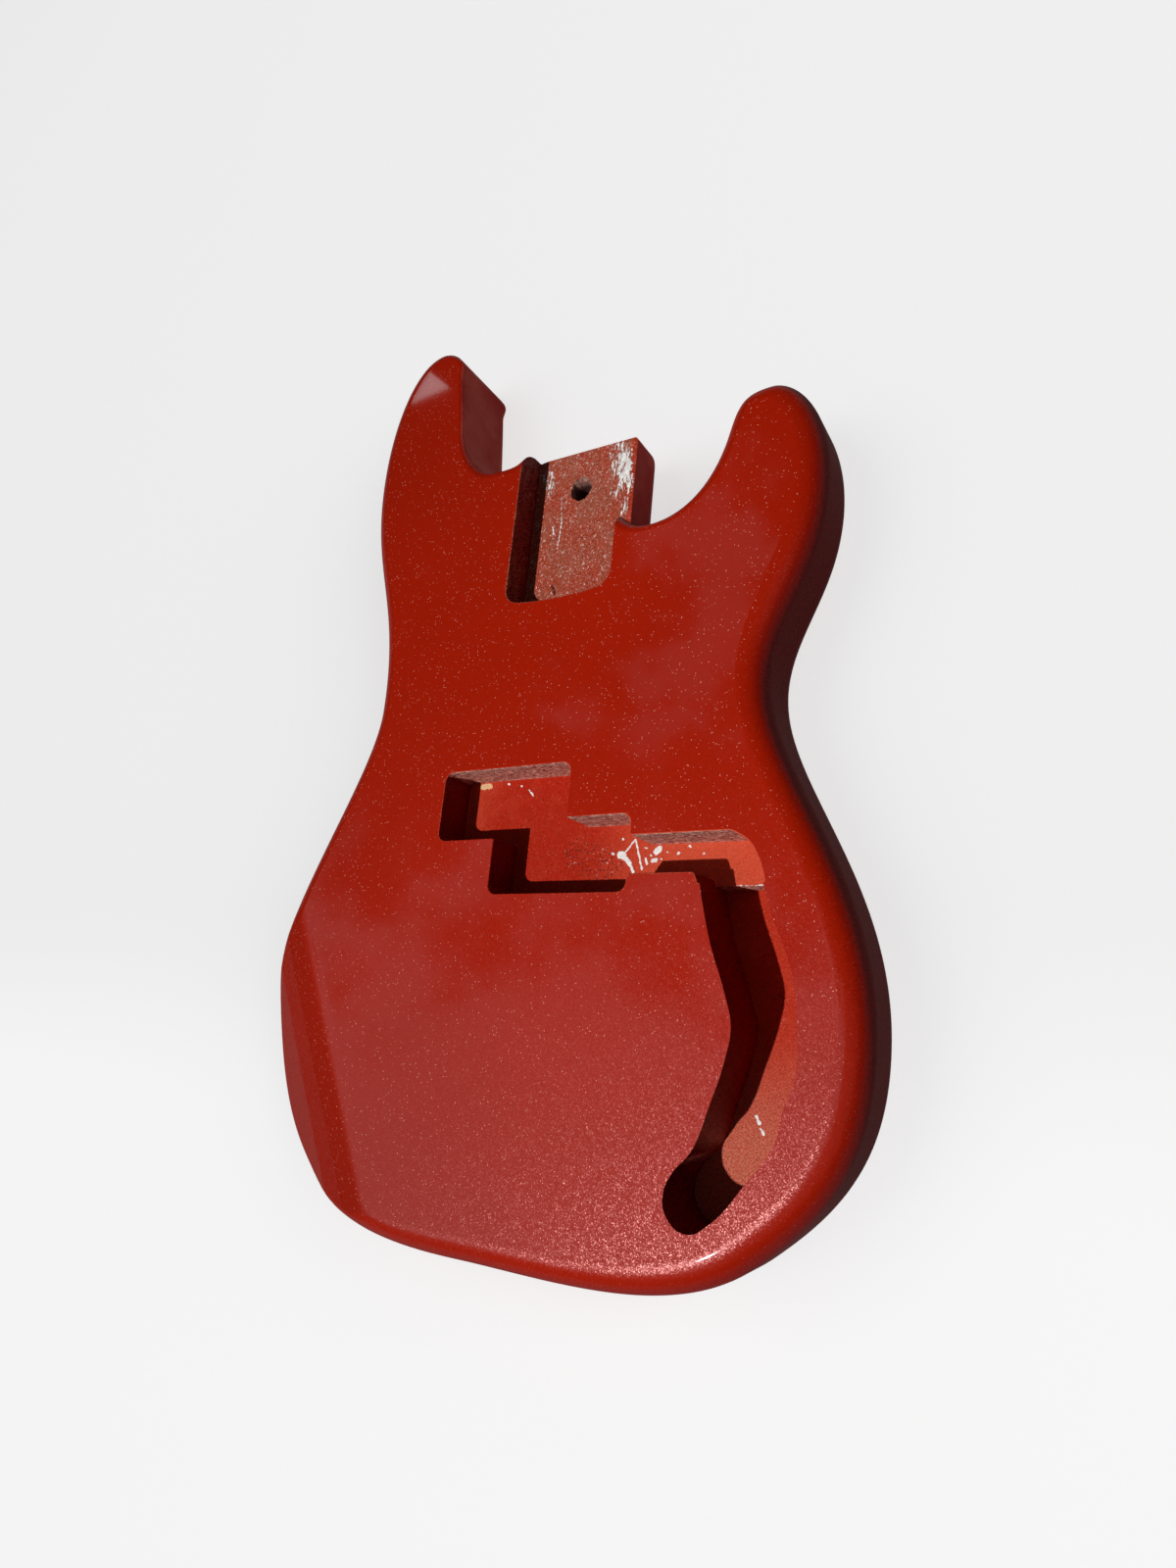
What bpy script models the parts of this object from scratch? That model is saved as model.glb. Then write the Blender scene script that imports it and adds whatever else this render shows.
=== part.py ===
"""Electric bass guitar body: four boards of wood edge-glued side by side, shaped and routed.

Units are metres, +Z up. The body lies on its back. The back face is at z = 0 and the front
face at z = THICKNESS. The neck axis is the Y axis, with the neck pocket at +Y. +X is the
treble side. The origin is on the back face, under the middle of the body's length and width.
"""
import math

import bmesh
import bpy
from mathutils import Matrix, Vector

MM = 0.001

# Overall sizes
THICKNESS = 44.45 * MM
EDGE_ROUND = 12.7 * MM
EDGE_ROUND_STEPS = 5
OUTLINE_STEPS = 8

# The boards, named from the bass side, and the x of the glue lines between them
BOARD_NAMES = ("bass_wing_board", "bass_centre_board", "treble_centre_board", "treble_wing_board")
GLUE_LINES = (-66 * MM, 8 * MM, 70 * MM)
GLUE_GAP = 0.3 * MM

# Neck pocket: width, depth below the front face, end walls and their corners
POCKET_WIDTH = 63.5 * MM
POCKET_DEPTH = 16 * MM
POCKET_END_Y = 63 * MM
POCKET_END_BOW = 3 * MM
POCKET_CORNER = 6.5 * MM
HEEL_END_Y = 159.5 * MM
HEEL_TREBLE_X = 31 * MM

# Hanging hole in the pocket floor, where a hook holds the body while it is sprayed
HOLE_X = -2.4 * MM
HOLE_Y = 135.2 * MM
HOLE_RADIUS = 6.35 * MM
HOLE_DEPTH = 20 * MM

# Split pickup route: two equal halves, one for the two low strings and one for the two high
PICKUP_LENGTH = 75.5 * MM
PICKUP_WIDTH = 35 * MM
PICKUP_DEPTH = 19 * MM
PICKUP_CORNER = 4.5 * MM
BASS_HALF_CENTRE = (-17.5 * MM, -43 * MM)
TREBLE_HALF_CENTRE = (17.5 * MM, -70 * MM)

# Wire channel from the treble half to the control cavity, and the cavity's depth
CHANNEL_TOP_Y = -62.5 * MM
CHANNEL_BOTTOM_Y = -79.5 * MM
CHANNEL_START_X = 45 * MM
CAVITY_SHELF_END_Y = -82.75 * MM
CAVITY_DEPTH = 30.5 * MM

# Forearm bevel on the front: a line where it starts, and three flat passes past it
FOREARM_LINE_POINT = (-106 * MM, -164 * MM)
FOREARM_LINE_ANGLE = math.radians(-61.5)
FOREARM_PASSES = ((0, math.radians(10.5)), (16 * MM, math.radians(18.5)), (30 * MM, math.radians(26)))

# Belly scoop on the back: a leaning cylinder that goes deeper towards the bass edge
BELLY_RADIUS = 150 * MM
BELLY_START = (-62 * MM, 35 * MM)
BELLY_LEAN = math.radians(17)

# Metallic red under a clear coat
LACQUER_COLOUR = (0.31, 0.012, 0.006)

# Cutters reach this far past the faces that they cut through
OVERCUT = 8 * MM
FAR = 400 * MM

# The body's outline in millimetres, anticlockwise from the heel's bass shoulder. Each point
# has x, y, the heading of the curve in degrees, and the reach of its two handles.
OUTLINE = (
    (-22, HEEL_END_Y / MM, 180, 0, 9),
    (-47, 154.5, 175, 12, 20),
    (-81, 195, 88, 13, 31),
    (-104.5, 248.3, 180, 10, 21),
    (-143.5, 173.5, 269, 44.5, 69),
    (-114.5, 15.5, 270, 70, 36.5),
    (-164, -137.5, 270, 52, 42),
    (-127.5, -217.5, 328, 31.5, 35),
    (-20.5, -247.7, 0, 66, 50),
    (118, -229.5, 37, 40.5, 37.5),
    (164, -143.5, 90, 42.5, 66),
    (114.5, 9, 90, 42.5, 32.5),
    (139.5, 105, 90, 45, 27.5),
    (111.5, 159, 180, 16, 18),
    (89, 134.5, 255, 14, 19),
    (52.5, 95.5, 184, 21.5, 11),
    (HEEL_TREBLE_X / MM, 106, 142, 9, 0),
    (HEEL_TREBLE_X / MM, HEEL_END_Y / MM, 90, 0, 0),
)

# The front-routed control cavity in millimetres: its wall from the end of the wire channel
# down the treble side, round the jack's lobe and back up, joined by a smooth curve.
CAVITY_WALL = (
    (104, -62.5), (112, -67), (117.5, -75.5), (121, -87), (124.5, -98), (130.5, -111),
    (134.5, -123.5), (136.7, -143), (136.3, -161), (132, -171.5), (129.5, -183), (118.5, -198.5),
    (104, -215), (94.5, -219.7), (85.5, -215), (83, -207), (86.5, -198), (94, -189.5),
    (101, -171.5), (106.5, -154), (108.2, -142), (105, -130), (97, -109), (92, -90.5),
)


def clear_scene():
    for obj in list(bpy.data.objects):
        bpy.data.objects.remove(obj, do_unlink=True)


def new_collection(name):
    collection = bpy.data.collections.new(name)
    bpy.context.scene.collection.children.link(collection)
    return collection


def add_object(name, mesh, collection):
    obj = bpy.data.objects.new(name, mesh)
    collection.objects.link(obj)
    return obj


def lacquer(name, colour, roughness, metallic):
    material = bpy.data.materials.new(name)
    material.use_nodes = True
    shader = material.node_tree.nodes["Principled BSDF"]
    shader.inputs["Base Color"].default_value = (*colour, 1)
    shader.inputs["Roughness"].default_value = roughness
    shader.inputs["Metallic"].default_value = metallic
    shader.inputs["Coat Weight"].default_value = 1
    return material


def flat_curve(name, height, base_z, collection):
    """An empty closed 2D curve that fills to a slab from base_z to base_z + height."""
    data = bpy.data.curves.new(name, "CURVE")
    data.dimensions = "2D"
    data.fill_mode = "BOTH"
    data.extrude = height / 2
    obj = add_object(name, data, collection)
    obj.location.z = base_z + height / 2
    return obj


def add_outline(curve, nodes, steps):
    """A closed Bezier spline whose handles follow each node's heading."""
    spline = curve.data.splines.new("BEZIER")
    spline.bezier_points.add(len(nodes) - 1)
    spline.use_cyclic_u = True
    spline.resolution_u = steps
    for point, (x, y, heading, reach_in, reach_out) in zip(spline.bezier_points, nodes):
        place = Vector((x, y, 0)) * MM
        along = Vector((math.cos(math.radians(heading)), math.sin(math.radians(heading)), 0)) * MM
        point.handle_left_type = "FREE"
        point.handle_right_type = "FREE"
        point.co = place
        point.handle_left = place - along * reach_in
        point.handle_right = place + along * reach_out


def add_smooth_wall(curve, corners, wall, steps):
    """A closed Bezier spline: straight between the corners, smooth along the wall."""
    spline = curve.data.splines.new("BEZIER")
    spline.bezier_points.add(len(corners) + len(wall) - 1)
    spline.use_cyclic_u = True
    spline.resolution_u = steps
    places = list(wall) + list(corners)
    for index, (point, (x, y)) in enumerate(zip(spline.bezier_points, places)):
        inside_wall = 0 < index < len(wall) - 1
        point.co = (x * MM, y * MM, 0)
        point.handle_left_type = "AUTO" if inside_wall else "VECTOR"
        point.handle_right_type = "AUTO" if inside_wall else "VECTOR"


def curve_to_mesh(curve):
    """The curve's evaluated surface as a mesh object, with its caps welded on."""
    bpy.context.view_layer.update()
    evaluated = curve.evaluated_get(bpy.context.evaluated_depsgraph_get())
    mesh = bpy.data.meshes.new_from_object(evaluated)
    bm = bmesh.new()
    bm.from_mesh(mesh)
    bmesh.ops.remove_doubles(bm, verts=bm.verts, dist=0.00002)
    bmesh.ops.dissolve_limit(bm, angle_limit=0.001, verts=bm.verts, edges=bm.edges)
    bm.to_mesh(mesh)
    bm.free()
    obj = add_object(curve.name, mesh, curve.users_collection[0])
    obj.matrix_world = curve.matrix_world
    bpy.data.objects.remove(curve, do_unlink=True)
    return obj


def round_rims(obj, radius, steps):
    """Round the edges of the front and back faces over, as a router with a bearing does."""
    bm = bmesh.new()
    bm.from_mesh(obj.data)
    rims = [edge for edge in bm.edges if abs(edge.verts[0].co.z - edge.verts[1].co.z) < radius / 100]
    bmesh.ops.bevel(bm, geom=rims, offset=radius, offset_type="OFFSET", segments=steps, profile=0.5,
                    affect="EDGES", clamp_overlap=False, material=-1)
    bm.to_mesh(obj.data)
    bm.free()


def as_cutter(obj):
    obj.hide_render = True
    obj.display_type = "WIRE"
    return obj


def box_cutter(name, size, matrix, collection):
    mesh = bpy.data.meshes.new(name)
    bm = bmesh.new()
    bmesh.ops.create_cube(bm, size=1)
    bmesh.ops.scale(bm, vec=size, verts=bm.verts)
    bmesh.ops.transform(bm, matrix=matrix, verts=bm.verts)
    bm.to_mesh(mesh)
    bm.free()
    return as_cutter(add_object(name, mesh, collection))


def route_cutter(name, low, high, corner, depth, collection):
    """A route with upright walls and rounded corners, sunk by depth from the front face."""
    size = (high[0] - low[0], high[1] - low[1], depth + OVERCUT)
    centre = Vector((low[0] + high[0], low[1] + high[1], 2 * THICKNESS - depth + OVERCUT)) / 2
    cutter = box_cutter(name, size, Matrix.Translation(centre), collection)
    bm = bmesh.new()
    bm.from_mesh(cutter.data)
    upright = [edge for edge in bm.edges if abs(edge.verts[0].co.z - edge.verts[1].co.z) > depth / 2]
    bmesh.ops.bevel(bm, geom=upright, offset=corner, segments=4, profile=0.5, affect="EDGES", material=-1)
    bm.to_mesh(cutter.data)
    bm.free()
    return cutter


def round_cutter(name, radius, length, matrix, sides, collection):
    mesh = bpy.data.meshes.new(name)
    bm = bmesh.new()
    bmesh.ops.create_cone(bm, cap_ends=True, segments=sides, radius1=radius, radius2=radius, depth=length,
                          matrix=matrix)
    bm.to_mesh(mesh)
    bm.free()
    return as_cutter(add_object(name, mesh, collection))


def neck_pocket_cutter(collection):
    """Open at the heel's end. The inner end bows a little, as the neck's butt does."""
    half = POCKET_WIDTH / 2 / MM
    end = POCKET_END_Y / MM
    bow = POCKET_END_BOW / MM
    corner = POCKET_CORNER / MM
    mouth = HEEL_END_Y / MM + 30
    reach = corner * 0.55
    tilt = math.degrees(math.atan2(2 * bow, half))
    shoulder = end + bow
    nodes = (
        (-half, mouth, 270, 0, 0),
        (-half, shoulder + corner, 270, 0, reach),
        (-half + corner, shoulder - 0.4 * bow, -tilt, reach, 6),
        (0, end, 0, 12, 12),
        (half - corner, shoulder - 0.4 * bow, tilt, 6, reach),
        (half, shoulder + corner, 90, reach, 0),
        (half, mouth, 90, 0, 0),
    )
    curve = flat_curve("neck_pocket_cutter", POCKET_DEPTH + OVERCUT, THICKNESS - POCKET_DEPTH, collection)
    add_outline(curve, nodes, 6)
    return as_cutter(curve_to_mesh(curve))


def hanging_hole_cutter(collection):
    floor = THICKNESS - POCKET_DEPTH
    length = HOLE_DEPTH + OVERCUT
    centre = Vector((HOLE_X, HOLE_Y, floor - HOLE_DEPTH + length / 2))
    return round_cutter("hanging_hole_cutter", HOLE_RADIUS, length, Matrix.Translation(centre), 24, collection)


def pickup_cutter(name, centre, collection):
    low = (centre[0] - PICKUP_LENGTH / 2, centre[1] - PICKUP_WIDTH / 2)
    high = (centre[0] + PICKUP_LENGTH / 2, centre[1] + PICKUP_WIDTH / 2)
    return route_cutter(name, low, high, PICKUP_CORNER, PICKUP_DEPTH, collection)


def wire_channel_cutter(collection):
    """The channel and the shelf that it ends on, as deep as the pickup route."""
    turn = (88.5, CHANNEL_BOTTOM_Y / MM)
    shelf_wall = [place for place in CAVITY_WALL if place[1] > -90 and place[0] > 100]
    corners = ((92, -90), turn, (CHANNEL_START_X / MM, turn[1]), (CHANNEL_START_X / MM, CHANNEL_TOP_Y / MM))
    curve = flat_curve("wire_channel_cutter", PICKUP_DEPTH + OVERCUT, THICKNESS - PICKUP_DEPTH, collection)
    add_smooth_wall(curve, corners, shelf_wall, 4)
    return as_cutter(curve_to_mesh(curve))


def control_cavity_cutter(collection):
    """The deep part, from the shelf's edge down to the jack's lobe."""
    shelf = CAVITY_SHELF_END_Y / MM
    deep_wall = [(119.7, shelf)] + [place for place in CAVITY_WALL if place[1] < shelf] + [(90.3, shelf)]
    curve = flat_curve("control_cavity_cutter", CAVITY_DEPTH + OVERCUT, THICKNESS - CAVITY_DEPTH, collection)
    add_smooth_wall(curve, (), deep_wall, 4)
    return as_cutter(curve_to_mesh(curve))


def forearm_cutters(collection):
    """Flat passes that lean a little more the farther out they start."""
    to_line = Matrix.Translation((*FOREARM_LINE_POINT, THICKNESS)) @ Matrix.Rotation(FOREARM_LINE_ANGLE, 4, "Z")
    cutters = []
    drop = 0
    for index, (start, lean) in enumerate(FOREARM_PASSES):
        if index:
            last_start, last_lean = FOREARM_PASSES[index - 1]
            drop += (start - last_start) * math.tan(last_lean)
        hinge = Matrix.Translation((0, -start, -drop)) @ Matrix.Rotation(lean, 4, "X")
        size = (FAR, FAR / 2, FAR / 4)
        offset = Matrix.Translation((0, -FAR / 4, FAR / 8))
        cutters.append(box_cutter(f"forearm_cutter_{index + 1}", size, to_line @ hinge @ offset, collection))
    return cutters


def belly_cutter(collection):
    """The scoop's axis leans in the XZ plane, so that it deepens towards the bass edge."""
    away = Vector((-math.cos(BELLY_LEAN), 0, math.sin(BELLY_LEAN)))
    below = Vector((math.sin(BELLY_LEAN), 0, math.cos(BELLY_LEAN)))
    start = Vector((*BELLY_START, 0))
    centre = start + away * FAR / 4 - below * BELLY_RADIUS
    turn = away.to_track_quat("Z", "Y").to_matrix().to_4x4()
    return round_cutter("belly_cutter", BELLY_RADIUS, FAR, Matrix.Translation(centre) @ turn, 96, collection)


def board_cutter(name, left, right, collection):
    """The slab of the blank that one board fills."""
    size = (right - left, 2 * FAR, FAR)
    return box_cutter(name, size, Matrix.Translation(((left + right) / 2, 0, 0)), collection)


def add_boolean(obj, cutter, operation):
    modifier = obj.modifiers.new(cutter.name, "BOOLEAN")
    modifier.operation = operation
    modifier.object = cutter
    modifier.solver = "EXACT"


def shade(obj):
    obj.data.shade_smooth()
    obj.data.set_sharp_from_angle(angle=math.radians(30))


def build():
    clear_scene()
    body = new_collection("bass_guitar_body")
    cutting = new_collection("cutters")

    curve = flat_curve("blank", THICKNESS, 0, cutting)
    add_outline(curve, OUTLINE, OUTLINE_STEPS)
    blank = curve_to_mesh(curve)
    round_rims(blank, EDGE_ROUND, EDGE_ROUND_STEPS)
    shade(blank)

    cutters = forearm_cutters(cutting)
    cutters.append(belly_cutter(cutting))
    cutters.append(neck_pocket_cutter(cutting))
    cutters.append(hanging_hole_cutter(cutting))
    cutters.append(pickup_cutter("bass_half_cutter", BASS_HALF_CENTRE, cutting))
    cutters.append(pickup_cutter("treble_half_cutter", TREBLE_HALF_CENTRE, cutting))
    cutters.append(wire_channel_cutter(cutting))
    cutters.append(control_cavity_cutter(cutting))

    lefts = (-FAR,) + tuple(line + GLUE_GAP / 2 for line in GLUE_LINES)
    rights = tuple(line - GLUE_GAP / 2 for line in GLUE_LINES) + (FAR,)
    for name, left, right in zip(BOARD_NAMES, lefts, rights):
        board = add_object(name, blank.data.copy(), body)
        board.location = blank.location
        board.data.materials.append(lacquer(f"{name}_lacquer", LACQUER_COLOUR, 0.32, 0.45))
        add_boolean(board, board_cutter(f"{name}_slab", left, right, cutting), "INTERSECT")
        for cutter in cutters:
            add_boolean(board, cutter, "DIFFERENCE")
    bpy.data.objects.remove(blank, do_unlink=True)


build()
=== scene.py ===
"""A bare electric bass guitar body, lacquered metallic red, as it leaves the spray booth."""

import math

import bmesh
import bpy
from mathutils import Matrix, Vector, noise
from mathutils.geometry import interpolate_bezier


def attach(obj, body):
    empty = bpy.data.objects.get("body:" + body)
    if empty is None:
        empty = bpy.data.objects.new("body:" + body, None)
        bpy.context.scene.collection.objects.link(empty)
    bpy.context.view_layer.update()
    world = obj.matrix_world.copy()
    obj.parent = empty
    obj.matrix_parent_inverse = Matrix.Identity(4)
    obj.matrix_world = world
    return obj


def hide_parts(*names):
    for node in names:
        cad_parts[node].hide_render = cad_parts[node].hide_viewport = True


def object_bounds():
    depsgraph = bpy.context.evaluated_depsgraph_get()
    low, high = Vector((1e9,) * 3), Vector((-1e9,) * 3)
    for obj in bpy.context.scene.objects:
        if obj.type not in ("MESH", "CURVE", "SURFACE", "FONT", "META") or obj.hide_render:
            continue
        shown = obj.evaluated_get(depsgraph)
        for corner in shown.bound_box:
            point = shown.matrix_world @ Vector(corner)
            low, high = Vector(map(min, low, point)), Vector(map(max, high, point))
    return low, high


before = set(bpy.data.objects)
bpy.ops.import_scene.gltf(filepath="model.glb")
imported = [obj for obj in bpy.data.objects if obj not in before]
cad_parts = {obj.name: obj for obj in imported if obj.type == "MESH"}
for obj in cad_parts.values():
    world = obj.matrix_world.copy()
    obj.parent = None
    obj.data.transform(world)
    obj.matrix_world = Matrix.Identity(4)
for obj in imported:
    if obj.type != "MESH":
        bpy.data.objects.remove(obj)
cad_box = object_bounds()

# The blank. Alder boards are glued edge to edge, bandsawn to the outline and run round with a
# rounding-over bit on both faces. The bit is smaller inside the bass horn. The blank is made
# whole here, and is parted into its boards once the routes are in.

MM = 0.001
THICKNESS = cad_box[1].z
ROUND_STEPS = 14
OUTLINE_SPACING = 2.5

# x and y in millimetres, the heading of the curve in degrees, the reach of its two handles, and
# the rounding of the front and of the back edge
OUTLINE = (
    (-26, 159.5, 180, 0, 4.6, 12.7, 12.7),
    (-37, 155.7, 220, 4.6, 4, 11.5, 12.7),
    (-52, 151, 180, 8, 14, 6.5, 12.7),
    (-80.1, 184.2, 97, 17, 13, 2.5, 11),
    (-86.3, 223, 98, 13, 4.5, 2.5, 8),
    (-87.8, 234, 128, 3.6, 9.5, 2.5, 5),
    (-110.7, 247.4, 196, 9.5, 18.9, 10, 10),
    (-143.5, 173.5, 269, 40.1, 69, 12.7, 12.7),
    (-114.5, 15.5, 270, 70, 36.5, 12.7, 12.7),
    (-164, -137.5, 270, 52, 42, 12.7, 12.7),
    (-127.5, -217.5, 328, 31.5, 35, 12.7, 12.7),
    (-20.5, -247.7, 0, 66, 50, 12.7, 12.7),
    (118, -229.5, 37, 40.5, 37.5, 12.7, 12.7),
    (164, -143.5, 90, 42.5, 66, 12.7, 12.7),
    (114.5, 9, 90, 42.5, 32.5, 12.7, 12.7),
    (139.5, 105, 90, 45, 27.5, 12.7, 12.7),
    (111.5, 159, 180, 16, 18, 12.7, 12.7),
    (89, 134.5, 255, 14, 19, 9, 12.7),
    (52.5, 95.5, 184, 21.5, 11, 6, 12.7),
    (31, 106, 142, 9, 0, 9, 12.7),
    (31, 159.5, 90, 0, 0, 12.7, 12.7),
)
HEEL_CORNER = Vector((31, 159.5)) * MM
HEEL_CORNER_REACH = 20 * MM
HEEL_CORNER_ROUND = 2.2 * MM


def heading(degrees):
    return Vector((math.cos(math.radians(degrees)), math.sin(math.radians(degrees)), 0))


def up(height):
    return Vector((0, 0, height))


def ease(share):
    """Zero to one, slow at both ends."""
    return share * share * (3 - 2 * share)


def outline_ring():
    """Places along the outline, each with the rounding of its front and back edge, in metres."""
    ring = []
    for node, after in zip(OUTLINE, OUTLINE[1:] + OUTLINE[:1]):
        start, end = Vector((*node[:2], 0)), Vector((*after[:2], 0))
        leave = start + heading(node[2]) * node[4]
        arrive = end - heading(after[2]) * after[3]
        straight = node[4] == 0 and after[3] == 0
        steps = 1 if straight else max(6, round((end - start).length / OUTLINE_SPACING))
        curve = interpolate_bezier(start, leave, arrive, end, steps + 1)
        for step, place in enumerate(curve[:-1]):
            share = ease(step / steps)
            front = node[5] + (after[5] - node[5]) * share
            back = node[6] + (after[6] - node[6]) * share
            ring.append((place * MM, front * MM, back * MM))
    return ring


def outward_normals(places):
    """For each place on a ring that runs anticlockwise, the way out, long enough for a mitre."""
    normals = []
    for before, place, after in zip(places[-1:] + places[:-1], places, places[1:] + places[:1]):
        come, leave = (place - before).normalized(), (after - place).normalized()
        normal = Vector((come.y + leave.y, -come.x - leave.x, 0)).normalized()
        normals.append(normal / max(0.5, normal.dot(Vector((come.y, -come.x, 0)))))
    return normals


def loft(rings):
    """A closed solid through rings of places that lie one above the other."""
    bm = bmesh.new()
    number = bm.verts.layers.int.new("number")
    verts = [bm.verts.new(place) for place in rings[0]]
    for index, vert in enumerate(verts):
        vert[number] = index
    bm.faces.new(verts)
    edges = bm.edges[:]
    for ring in rings[1:]:
        grown = bmesh.ops.extrude_edge_only(bm, edges=edges)["geom"]
        new = {item for item in grown if isinstance(item, bmesh.types.BMVert)}
        edges = [item for item in grown
                 if isinstance(item, bmesh.types.BMEdge) and new.issuperset(item.verts)]
        for vert in new:
            vert.co = ring[vert[number]]
    bmesh.ops.contextual_create(bm, geom=edges)
    bmesh.ops.recalc_face_normals(bm, faces=bm.faces)
    return bm


def new_object(name, bm, materials):
    mesh = bpy.data.meshes.new(name)
    bm.to_mesh(mesh)
    bm.free()
    for material in materials:
        mesh.materials.append(material)
    obj = bpy.data.objects.new(name, mesh)
    bpy.context.scene.collection.objects.link(obj)
    return obj


def is_heel_corner(edge):
    """Whether the edge runs up the sharp corner at the end of the heel."""
    near = all((vert.co.xy - HEEL_CORNER).length < HEEL_CORNER_REACH for vert in edge.verts)
    level = abs(edge.verts[0].co.z - edge.verts[1].co.z) < 0.01 * MM
    return near and not level and edge.calc_face_angle() > math.radians(30)


def blank():
    """The outline, lofted through the rounding of the back edge and then of the front edge."""
    ring = outline_ring()
    normals = outward_normals([place for place, front, back in ring])
    turns = [math.pi / 2 * step / ROUND_STEPS for step in range(ROUND_STEPS + 1)]
    rings = []
    for turn in turns:
        inwards, upwards = 1 - math.sin(turn), 1 - math.cos(turn)
        rings.append([place - normal * back * inwards + up(back * upwards)
                      for (place, front, back), normal in zip(ring, normals)])
    for turn in turns:
        inwards, downwards = 1 - math.cos(turn), 1 - math.sin(turn)
        rings.append([place - normal * front * inwards + up(THICKNESS - front * downwards)
                      for (place, front, back), normal in zip(ring, normals)])
    bm = loft(rings)
    corner = [edge for edge in bm.edges if is_heel_corner(edge)]
    bmesh.ops.bevel(bm, geom=corner, offset=HEEL_CORNER_ROUND, offset_type="OFFSET", segments=5,
                    profile=0.5, affect="EDGES", clamp_overlap=True, material=-1)
    return bm


# The lacquer. A red candy coat full of metal flakes goes on over a sealed body, with clear gloss
# over it. The flakes lie at slightly different angles, so they glint one by one in the sun. A share
# of the glints is also painted into the colour as pale pink specks, and light and shade are painted
# over the faces.

def place_node(tree, kind, inputs=None, **settings):
    """Adds a node, sets it up, and fills its inputs with values or with other nodes' outputs."""
    node = tree.nodes.new(kind)
    for name, value in settings.items():
        setattr(node, name, value)
    for name, value in (inputs or {}).items():
        if isinstance(value, bpy.types.NodeSocket):
            tree.links.new(value, node.inputs[name])
        else:
            node.inputs[name].default_value = value
    return node


def calculate(tree, operation, value, *others):
    """Works on one value, or on several from left to right."""
    if not others:
        return place_node(tree, "ShaderNodeMath", {0: value}, operation=operation).outputs[0]
    for other in others:
        value = place_node(tree, "ShaderNodeMath", {0: value, 1: other}, operation=operation).outputs[0]
    return value


def along(tree, operation, *vectors, result=0):
    """Works on vectors; result 1 is the output for a length or another single number."""
    inputs = dict(enumerate(vectors))
    return place_node(tree, "ShaderNodeVectorMath", inputs, operation=operation).outputs[result]


def scaled(tree, vector, factor):
    inputs = {0: vector, "Scale": factor}
    return place_node(tree, "ShaderNodeVectorMath", inputs, operation="SCALE").outputs[0]


def parts_of(tree, vector):
    """The x, y and z of a vector."""
    return place_node(tree, "ShaderNodeSeparateXYZ", {0: vector}).outputs


def blend(tree, share, first, second):
    """The first colour where the share is zero, and the second where it is one."""
    return place_node(tree, "ShaderNodeMix", {0: share, 6: first, 7: second}, data_type="RGBA").outputs[2]


def between(tree, value, low, high, start=0.0, end=1.0):
    """Runs softly from start to end while the value runs from low to high."""
    inputs = {"Value": value, "From Min": low, "From Max": high, "To Min": start, "To Max": end}
    return place_node(tree, "ShaderNodeMapRange", inputs, interpolation_type="SMOOTHSTEP").outputs[0]


def object_place(tree):
    return place_node(tree, "ShaderNodeTexCoord").outputs["Object"]


def facing(tree):
    """The surface normal's x, y and z."""
    return parts_of(tree, place_node(tree, "ShaderNodeNewGeometry").outputs["Normal"])


def clouds(tree, scale, detail=3.0, stretch=(1, 1, 1), roughness=0.5):
    """A noise value; the scale counts patches in a metre."""
    place = along(tree, "MULTIPLY", object_place(tree), stretch)
    inputs = {"Vector": place, "Scale": scale, "Detail": detail, "Roughness": roughness}
    return place_node(tree, "ShaderNodeTexNoise", inputs).outputs[0]


def new_group(name, inputs, outputs):
    """A node group with its sockets, given as name: (kind, value) and name: kind."""
    tree = bpy.data.node_groups.new(name, "ShaderNodeTree")
    for socket, (kind, value) in inputs.items():
        tree.interface.new_socket(socket, in_out="INPUT", socket_type=kind).default_value = value
    for socket, kind in outputs.items():
        tree.interface.new_socket(socket, in_out="OUTPUT", socket_type=kind)
    return tree, tree.nodes.new("NodeGroupInput").outputs, tree.nodes.new("NodeGroupOutput").inputs


def effect(tree, group, inputs):
    return place_node(tree, "ShaderNodeGroup", inputs, node_tree=group).outputs


def empty_material(name):
    material = bpy.data.materials.new(name)
    material.use_nodes = True
    return material, material.node_tree, material.node_tree.nodes["Principled BSDF"]


# A cell's colour also sets where it lies, so this mix of its three parts draws the lots
LOT_MIX = (13.1, 17.7, 23.3)


def metal_flakes_group():
    """Small cells that each lean their own way, and a share of them picked for painted glints."""
    tree, given, out = new_group(
        "metal_flakes",
        {"Flakes in a metre": ("NodeSocketFloat", 1500.0), "Tilt": ("NodeSocketFloat", 0.3),
         "Glint share": ("NodeSocketFloat", 0.03)},
        {"Normal": "NodeSocketVector", "Glint": "NodeSocketFloat"})
    inputs = {"Vector": object_place(tree), "Scale": given["Flakes in a metre"]}
    cells = place_node(tree, "ShaderNodeTexVoronoi", inputs).outputs
    lean = scaled(tree, along(tree, "SUBTRACT", cells["Color"], (0.5, 0.5, 0.5)), given["Tilt"])
    surface = place_node(tree, "ShaderNodeNewGeometry").outputs["Normal"]
    tree.links.new(along(tree, "NORMALIZE", along(tree, "ADD", surface, lean)), out["Normal"])
    lot = calculate(tree, "FRACT", along(tree, "DOT_PRODUCT", cells["Color"], LOT_MIX, result=1))
    chosen = calculate(tree, "LESS_THAN", lot, given["Glint share"])
    core = between(tree, cells["Distance"], 0.44, 0.30)
    shine = between(tree, parts_of(tree, cells["Color"])["X"], 0.1, 0.9, 0.3, 1.0)
    tree.links.new(calculate(tree, "MULTIPLY", chosen, core, shine), out["Glint"])
    return tree


metal_flakes = metal_flakes_group()

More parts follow.
